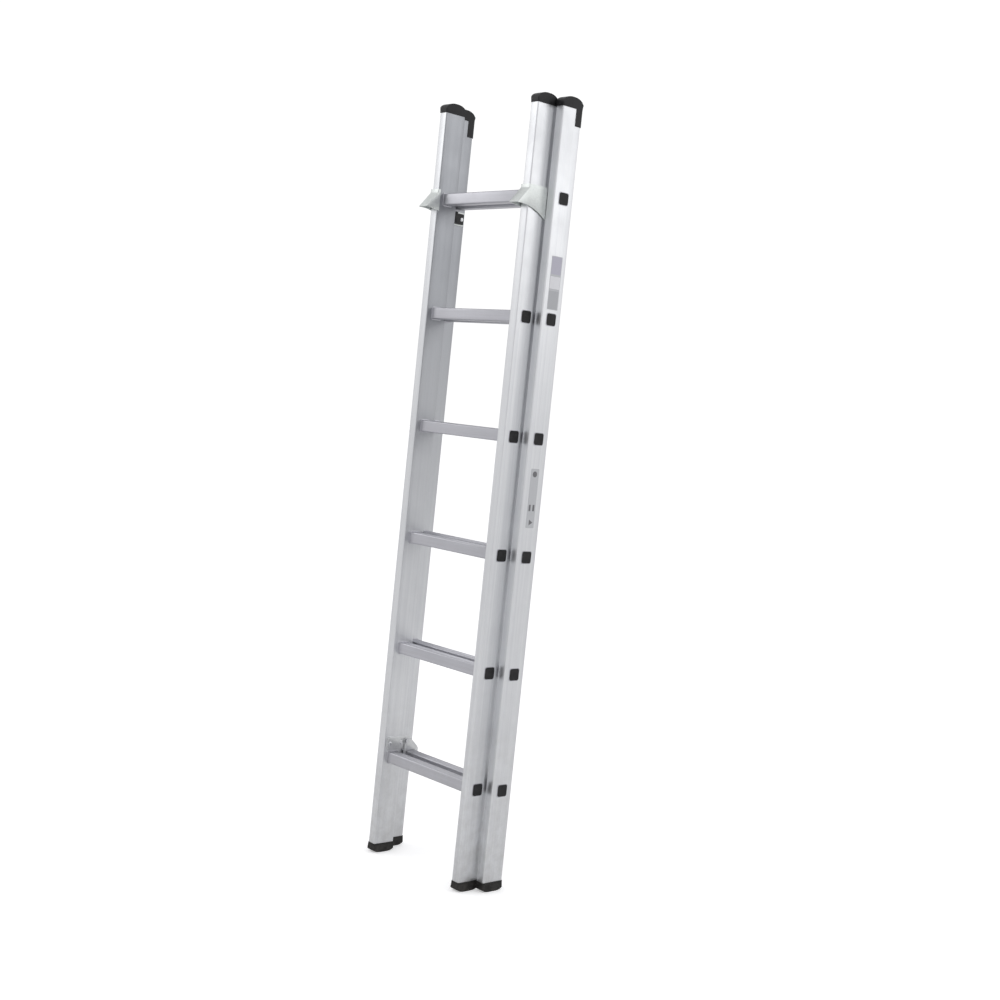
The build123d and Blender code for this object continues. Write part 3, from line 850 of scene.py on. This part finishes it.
def make_guide_bracket():
    """Sheet drawn out to its outline, folded round the fly's stile in front, then thickened."""
    low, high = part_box("guide_bracket_right")
    fly_low, fly_high = stile_boxes["fly"]
    base_front = stile_boxes["base"][0].y
    tongue_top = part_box("guide_slide_block_right")[1].z + BLOCK_MARGIN
    tongue_front = base_front + TONGUE_MARGIN
    strap = fly_low.y - GUIDE_FRONT_PLAY - SHEET
    crest_rear = fly_high.y - CREST_MARGIN
    knee = high.z - LIP_KNEE
    tip = top_rung - LIP_DROP

    def slope(y):
        """Height of the lip's edge, which falls from the knee to the tip."""
        return knee + (tip - knee) * (strap - y) / (strap - low.y)

    def arch(y):
        """Height of the arched lower edge."""
        share = (base_front - y) / (base_front - low.y)
        return low.z + (tip - LIP_TIP_DROP - low.z) * share + 4 * ARCH_RISE * share * (1 - share)

    piece = add_card("guide_bracket", high.x, (tongue_front, high.y), (low.z, tongue_top))
    rise = high.z - tongue_top
    shoulder = tongue_top + rise * (tongue_front - base_front) / (tongue_front - crest_rear)
    columns = [(base_front, low.z, shoulder), (crest_rear, arch(crest_rear), high.z)]
    for share in (0.3, 0.65, 1.0):
        y = crest_rear + (strap - crest_rear) * share
        columns.append((y, arch(y), high.z))
    y = tongue_front
    for next_y, edge_low, edge_high in columns:
        draw_out(piece, y, next_y, edge_low, edge_high, high.z)
        y = next_y
    slice_at(piece, (0, 0, knee), (0, 0, 1))
    for share in (0.35, 0.7, 0.92, 1.0):
        next_y = strap + (low.y - strap) * share
        edge_low = tip if share == 1.0 else arch(next_y)
        draw_out(piece, y, next_y, edge_low, slope(next_y), knee if share == 0.35 else high.z)
        y = next_y
    merge(piece)

    def on_front(corner):
        upright = near(corner.y, strap) and corner.z > knee - 0.1 * MM
        return upright or (corner.y < strap and near(corner.z, slope(corner.y), 0.1 * MM))
    pick(piece, "EDGE", lambda a, b: on_front(a) and on_front(b))
    push((low.x - high.x, 0, 0))
    leave()
    pick(piece, "EDGE", lambda a, b: near(a.x, low.x) and near(b.x, low.x))
    cheek_rear = fly_low.y + CHEEK_OVERLAP
    push((0, cheek_rear - strap, 0))
    bpy.ops.transform.resize(value=(1, 0, 1), center_override=(0, cheek_rear, 0))
    leave()
    pick(piece, "VERT", lambda corner: near(corner.y, cheek_rear) and near(corner.z, tip))
    bpy.ops.transform.translate(value=(0, 0, -CHEEK_DROP))
    leave()
    pick_all(piece)
    bpy.ops.mesh.normals_make_consistent(inside=False)
    leave()
    if max(piece.data.polygons, key=lambda face: face.center.y).normal.x < 0:
        flip(piece)

    def is_fold(a, b):
        side_fold = near(a.x, b.x) and on_front(a) and on_front(b)
        knee_fold = along(0, a, b) and near(a.y, strap) and near(a.z, knee)
        return side_fold or knee_fold
    round_edges(piece, is_fold, 1.8 * MM, 3)
    thicken(piece, SHEET)
    soften(piece, 0.3 * MM, 2, 50)
    both_sides(piece, "guide_bracket_sheet", sheet_finish, "base_section", "zinc_sheet", "guide_bracket")


def make_rivets(node, body):
    """Blind rivets: a domed head with the mandrel's hollow, a shank and a swollen tail."""
    low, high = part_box(node + "_right")
    radius = RIVET_HEAD / 2
    face = low.x + RIVET_HEAD_HEIGHT
    tail = high.x - RIVET_TAIL
    profile = [(low.x + 0.9 * MM, 1.0 * MM), (low.x + 0.1 * MM, 1.3 * MM), (low.x, 2.0 * MM),
               (low.x + 0.25 * MM, 3.4 * MM), (low.x + 0.8 * MM, 4.5 * MM),
               (face, radius), (face, 2.4 * MM), (tail, 2.4 * MM), (tail, 3.6 * MM),
               (tail + 1.5 * MM, 3.7 * MM), (high.x, 2.6 * MM)]
    z = (low.z + high.z) / 2
    first = turned(node, low.y + radius, z, profile)
    second = copy_of(first, node + "_rear", (0, high.y - low.y - RIVET_HEAD, 0))
    piece = join(node + "_set", [first, second])
    both_sides(piece, node + "_set", fastener_finish, body, "fastener_steel", node, angle=30)


def make_slide_block():
    """Nylon block, two grease grooves on the face that meets the fly, and a flange for the rivets."""
    low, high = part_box("guide_slide_block_right")
    end = high.x - SHEET
    rear = low.y + BLOCK_DEPTH
    piece = add_block("guide_slide_block", low, (end, rear, high.z))
    for share in (0.28, 0.42, 0.58, 0.72):
        slice_at(piece, (low.x + (end - low.x) * share, 0, 0), (1, 0, 0))

    def in_groove(centre, facing):
        share = (centre.x - low.x) / (end - low.x)
        return facing.y < -0.9 and (0.28 < share < 0.42 or 0.58 < share < 0.72)
    pick(piece, "FACE", in_groove)
    push((0, 0.8 * MM, 0))
    leave()
    round_edges(piece, lambda a, b: along(0, a, b) and not near(a.y, low.y + 0.8 * MM), 1.4 * MM, 3)
    soften(piece, 0.3 * MM, 2, 50)
    inset = 0.15 * MM
    pad = add_block("pad", (end - PAD, low.y + BLOCK_DEPTH / 2, low.z + inset),
                    (end - inset, high.y, high.z - inset))
    round_edges(pad, lambda a, b: along(0, a, b) and near(a.y, high.y), 3 * MM, 4)
    unite(piece, pad)
    peg = turned("peg", low.y + BLOCK_DEPTH / 2, (low.z + high.z) / 2,
                 [(end - MM, PIN / 2), (high.x, PIN / 2)])
    unite(piece, peg)
    both_sides(piece, "guide_slide_block_body", nylon_finish, "base_section", "nylon",
               "guide_slide_block")


# ---------------------------------------------------------------- hooks and safety catches
def trim(piece, start, end):
    """Cuts the piece along a line from one (y, z) to another and removes its right-hand side."""
    slice_at(piece, (0, start[0], start[1]), unit(end[1] - start[1], start[0] - end[0]), drop=True)


def make_hook_plate():
    """Plate cut to a hook, with its notch over the base's rung and a rounded crest."""
    low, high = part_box("hook_plate_right")
    rung_fore = middle(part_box("base_rung_1")).y - RUNG / 2
    pivot_y = middle(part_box("catch_pin_right")).y
    fly_rear = stile_boxes["fly"][1].y
    throat = high.y - HOOK_NOSE
    seat = low_rung + RUNG / 2 + HOOK_SEAT_PLAY
    skirt = low_rung + RUNG / 2 + COLLAR_LIP + COLLAR_PLAY
    shoulder = low_rung + HOOK_SHOULDER
    shoulder_y = high.y - HOOK_SHOULDER_RUN
    crest_rear = pivot_y + HOOK_CREST_RUN
    seat_front = rung_fore - HOOK_SEAT_LEAD
    piece = add_card("hook_plate", high.x, (low.y, high.y), (low.z, high.z))
    trim(piece, (shoulder_y, shoulder), (crest_rear, high.z))
    trim(piece, (high.y, shoulder - HOOK_SHOULDER_DROP), (shoulder_y, shoulder))
    trim(piece, (high.y - HOOK_NOSE_CUT, low.z), (high.y, low.z + HOOK_NOSE_CUT))
    for y in (fly_rear, seat_front, throat):
        slice_at(piece, (0, y, 0), (0, 1, 0))
    for z in (seat, skirt):
        slice_at(piece, (0, 0, z), (0, 0, 1))
    slice_at(piece, (0, fly_rear, skirt), unit(seat - skirt, fly_rear - seat_front))
    slice_at(piece, (0, throat, low.z + HOOK_LEAD_IN), unit(HOOK_LEAD_IN, HOOK_NOSE_CUT))

    def in_notch(centre, facing):
        if centre.y > throat:
            return (centre.y - throat) / HOOK_NOSE_CUT + (centre.z - low.z) / HOOK_LEAD_IN < 1
        if centre.y > seat_front:
            return centre.z < seat
        if centre.y < fly_rear:
            return centre.z < skirt
        share = (centre.y - fly_rear) / (seat_front - fly_rear)
        return centre.z < skirt + (seat - skirt) * share
    pick(piece, "FACE", in_notch)
    bpy.ops.mesh.delete(type="FACE")
    leave()
    pick_all(piece)
    bpy.ops.mesh.dissolve_limited(angle_limit=math.radians(1))
    leave()
    thicken(piece, HOOK)
    round_edges(piece, lambda a, b: along(0, a, b) and near(a.z, high.z), HOOK_CREST_CORNER, 6)
    round_edges(piece, lambda a, b:
                along(0, a, b) and near(a.y, throat) and near(a.z, seat), 1.5 * MM, 4)
    soften(piece, 0.5 * MM, 2, 25)
    both_sides(piece, "hook_plate_body", plate_finish, "fly_section", "zinc_plate", "hook_plate")


def make_catch():
    """Safety catch: a boss on the pin, a leg in front of the rung, a toe below it and a finger tab."""
    low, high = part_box("catch_right")
    pin = middle(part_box("catch_pin_right"))
    boss = high.z - pin.z
    leg_rear = middle(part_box("base_rung_1")).y - RUNG / 2 - CATCH_LEG_PLAY
    leg_front = leg_rear - CATCH_LEG
    toe_top = low.z + CATCH_TOE
    tab_top = toe_top + CATCH_TOE_CUT
    skin = 0.25 * MM
    piece = add_block("catch", (low.x + skin, leg_front, low.z), (high.x - skin, leg_rear, pin.z))
    slice_at(piece, (0, 0, toe_top), (0, 0, 1))
    slice_at(piece, (0, 0, tab_top), (0, 0, 1))
    pick(piece, "FACE", lambda centre, facing: facing.y > 0.9 and centre.z < toe_top)
    push((0, high.y - leg_rear, 0))
    leave()
    pick(piece, "FACE", lambda centre, facing: facing.y < -0.9 and centre.z < tab_top)
    push((0, low.y - leg_front, 0))
    bpy.ops.transform.resize(value=(1, 1, 0.2), center_override=(0, 0, low.z))
    leave()
    round_edges(piece, lambda a, b: along(0, a, b) and near(a.y, high.y), 2.5 * MM, 4)
    round_edges(piece, lambda a, b:
                along(0, a, b) and near(a.y, leg_rear) and near(a.z, toe_top), MM, 3)
    hub = turned("hub", pin.y, pin.z, [(low.x, boss - 0.4 * MM), (low.x + 0.4 * MM, boss),
                                       (high.x - 0.4 * MM, boss), (high.x, boss - 0.4 * MM)], 40)
    unite(piece, hub)
    soften(piece, 0.3 * MM, 2, 40)
    both_sides(piece, "catch_lever", plate_finish, "catch", "zinc_plate", "catch")


def make_catch_pin():
    """Headed pin, peened over inside with a turning centre in each end."""
    low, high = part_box("catch_pin_right")
    pin = (low + high) / 2
    head = high.z - pin.z
    edge = 0.4 * MM
    profile = [(high.x - 0.6 * MM, 0.6 * MM), (high.x, 1.2 * MM), (high.x, head - edge),
               (high.x - edge, head), (high.x - PIN_HEAD, head), (high.x - PIN_HEAD, PIN / 2),
               (low.x + PIN_HEAD, PIN / 2), (low.x + PIN_HEAD, head), (low.x + edge, head),
               (low.x, head - edge), (low.x, 1.2 * MM), (low.x + 0.6 * MM, 0.6 * MM)]
    piece = turned("catch_pin", pin.y, pin.z, profile)
    both_sides(piece, "catch_pin_body", fastener_finish, "fly_section", "fastener_steel", "catch_pin",
               angle=30)


# ---------------------------------------------------------------- labels
def add_film(name, x, y_span, z_span, corner, thickness):
    """A thin flat sheet with rounded corners, standing on a plane of constant X."""
    piece = add_card(name, x, y_span, z_span)
    if corner:
        pick_all(piece, "VERT")
        bpy.ops.mesh.bevel(offset=corner, segments=5, affect="VERTICES")
        leave()
    pick_all(piece)
    push((thickness, 0, 0))
    leave()
    face_outwards(piece)
    return piece


def make_rating_label():
    low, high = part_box("rating_label")
    film = add_film("rating_label_film", low.x, (low.y, high.y), (low.z, high.z), 2 * MM, 0.25 * MM)
    finish_piece(film, film_finish, "base_section", "label_film", "rating_label")
    border = 1.2 * MM
    span = high.z - low.z
    blocks = (("lower", 0.0, 0.36, grey_print), ("middle", 0.38, 0.63, white_print),
              ("upper", 0.65, 1.0, violet_print))
    for name, start, end, ink in blocks:
        z_span = (low.z + span * start + border, low.z + span * end - border)
        block = add_film("rating_print_" + name, low.x + 0.24 * MM, (low.y + border, high.y - border),
                         z_span, 1 * MM, 0.06 * MM)
        finish_piece(block, ink, "base_section", "label_film", "rating_label")


def make_guidance_label():
    """Clear film with plain printed shapes: a disc, a pair of bars and a triangle."""
    low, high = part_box("guidance_label")
    film = add_film("guidance_label_film", low.x, (low.y, high.y), (low.z, high.z), 2 * MM, 0.25 * MM)
    finish_piece(film, film_finish, "base_section", "label_film", "guidance_label")
    y = (low.y + high.y) / 2
    ink_low, ink_high = low.x + 0.24 * MM, high.x
    marks = [turned("mark_disc", y, high.z - 13 * MM, [(ink_low, 7 * MM), (ink_high, 7 * MM)], 32),
             turned("mark_triangle", y, low.z + 13 * MM, [(ink_low, 8 * MM), (ink_high, 8 * MM)], 3)]
    for name, side in (("front", -1), ("rear", 1)):
        across = y + side * 6 * MM
        marks.append(add_film("mark_bar_" + name, ink_low, (across - 3 * MM, across + 3 * MM),
                              (low.z + 40 * MM, low.z + 55 * MM), 1 * MM, ink_high - ink_low))
    piece = join("guidance_marks", marks)
    finish_piece(piece, mark_ink, "base_section", "label_film", "guidance_label")


make_stile("base")
make_stile("fly")
make_rungs("base")
make_rungs("fly")
make_plugs("base")
make_plugs("fly")
make_foot("base")
make_foot("fly")
make_cap("base")
make_cap("fly")
make_guide_bracket()
make_rivets("guide_rivets", "base_section")
make_slide_block()
make_hook_plate()
make_rivets("hook_rivets", "fly_section")
make_catch()
make_catch_pin()
make_rating_label()
make_guidance_label()
for side in ("left", "right"):
    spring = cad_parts["catch_spring_" + side]
    spring.data.materials.clear()
    spring.data.materials.append(spring_finish)


# ---------------------------------------------------------------- studio
def make_floor():
    deselect_all()
    bpy.ops.mesh.primitive_circle_add(vertices=96, radius=60.0, fill_type="NGON", location=(0, 0, 0))
    floor = settle("studio_floor")
    made, tree, shader, place = new_material("pale_studio_floor", Roughness=0.85)
    shader.inputs["Emission Color"].default_value = (1, 1, 1, 1)
    mottle = remap(tree, noise(tree, place, 2.0, 3.0, 0.5), 0.3, 0.7, 0.0, 1.0)
    seen = blend_colours(tree, mottle, (0.93, 0.93, 0.93, 1), (0.95, 0.95, 0.95, 1))
    path = tree.nodes.new("ShaderNodeLightPath").outputs["Is Camera Ray"]
    colour = blend_colours(tree, path, (FLOOR_BOUNCE, FLOOR_BOUNCE, FLOOR_BOUNCE, 1), seen)
    tree.links.new(colour, shader.inputs["Base Color"])
    tree.links.new(calc(tree, "MULTIPLY", path, FLOOR_LIFT), shader.inputs["Emission Strength"])
    floor.data.materials.append(made)


def make_camera():
    """Stands to the front right, slightly above half height, with the horizon rolled a little."""
    data = bpy.data.cameras.new("camera")
    camera = bpy.data.objects.new("camera", data)
    bpy.context.scene.collection.objects.link(camera)
    data.sensor_width = 36.0
    data.lens = 53.46
    data.clip_end = 200.0
    camera.location = (2.7104, -2.3772, 1.1485)
    aim = Vector((-0.73288, 0.67757, -0.06152))
    turn = aim.to_track_quat("-Z", "Y")
    camera.rotation_mode = "QUATERNION"
    roll = Vector((0, 0, 1))
    camera.rotation_quaternion = turn @ Quaternion(roll, math.radians(5.866))
    bpy.context.scene.camera = camera


def make_world():
    """The camera sees plain white; the ladder is lit by a soft studio, brighter towards the ceiling."""
    world = bpy.data.worlds.new("studio")
    bpy.context.scene.world = world
    world.use_nodes = True
    tree = world.node_tree
    tree.nodes.clear()
    out = tree.nodes.new("ShaderNodeOutputWorld")
    direction = tree.nodes.new("ShaderNodeTexCoord").outputs["Generated"]
    height = add_node(tree, "ShaderNodeSeparateXYZ", None, Vector=direction).outputs["Z"]
    level = remap(tree, height, -0.05, 0.30, HORIZON, CEILING)
    soft = add_node(tree, "ShaderNodeBackground", None, Strength=level)
    soft.inputs["Color"].default_value = (0.985, 0.985, 1.0, 1)
    seen = add_node(tree, "ShaderNodeBackground", None, Strength=1.05)
    seen.inputs["Color"].default_value = (1, 1, 1, 1)
    path = tree.nodes.new("ShaderNodeLightPath")
    mix = tree.nodes.new("ShaderNodeMixShader")
    tree.links.new(path.outputs["Is Camera Ray"], mix.inputs[0])
    tree.links.new(soft.outputs[0], mix.inputs[1])
    tree.links.new(seen.outputs[0], mix.inputs[2])
    tree.links.new(mix.outputs[0], out.inputs["Surface"])


def add_softbox(name, place, aim, size, power):
    data = bpy.data.lights.new(name, "AREA")
    data.shape = "RECTANGLE"
    data.size, data.size_y = size
    data.energy = power
    light = bpy.data.objects.new(name, data)
    bpy.context.scene.collection.objects.link(light)
    light.location = place
    light.rotation_mode = "QUATERNION"
    light.rotation_quaternion = (Vector(aim) - Vector(place)).to_track_quat("-Z", "Y")


make_floor()
make_camera()
make_world()
add_softbox("key", (-2.6, -3.2, 3.4), (0, 0, 1.1), (2.2, 2.6), 22)
add_softbox("rim", (3.4, 2.6, 3.0), (0, 0, 1.0), (1.8, 2.4), 14)
bpy.context.scene.view_settings.view_transform = "Standard"
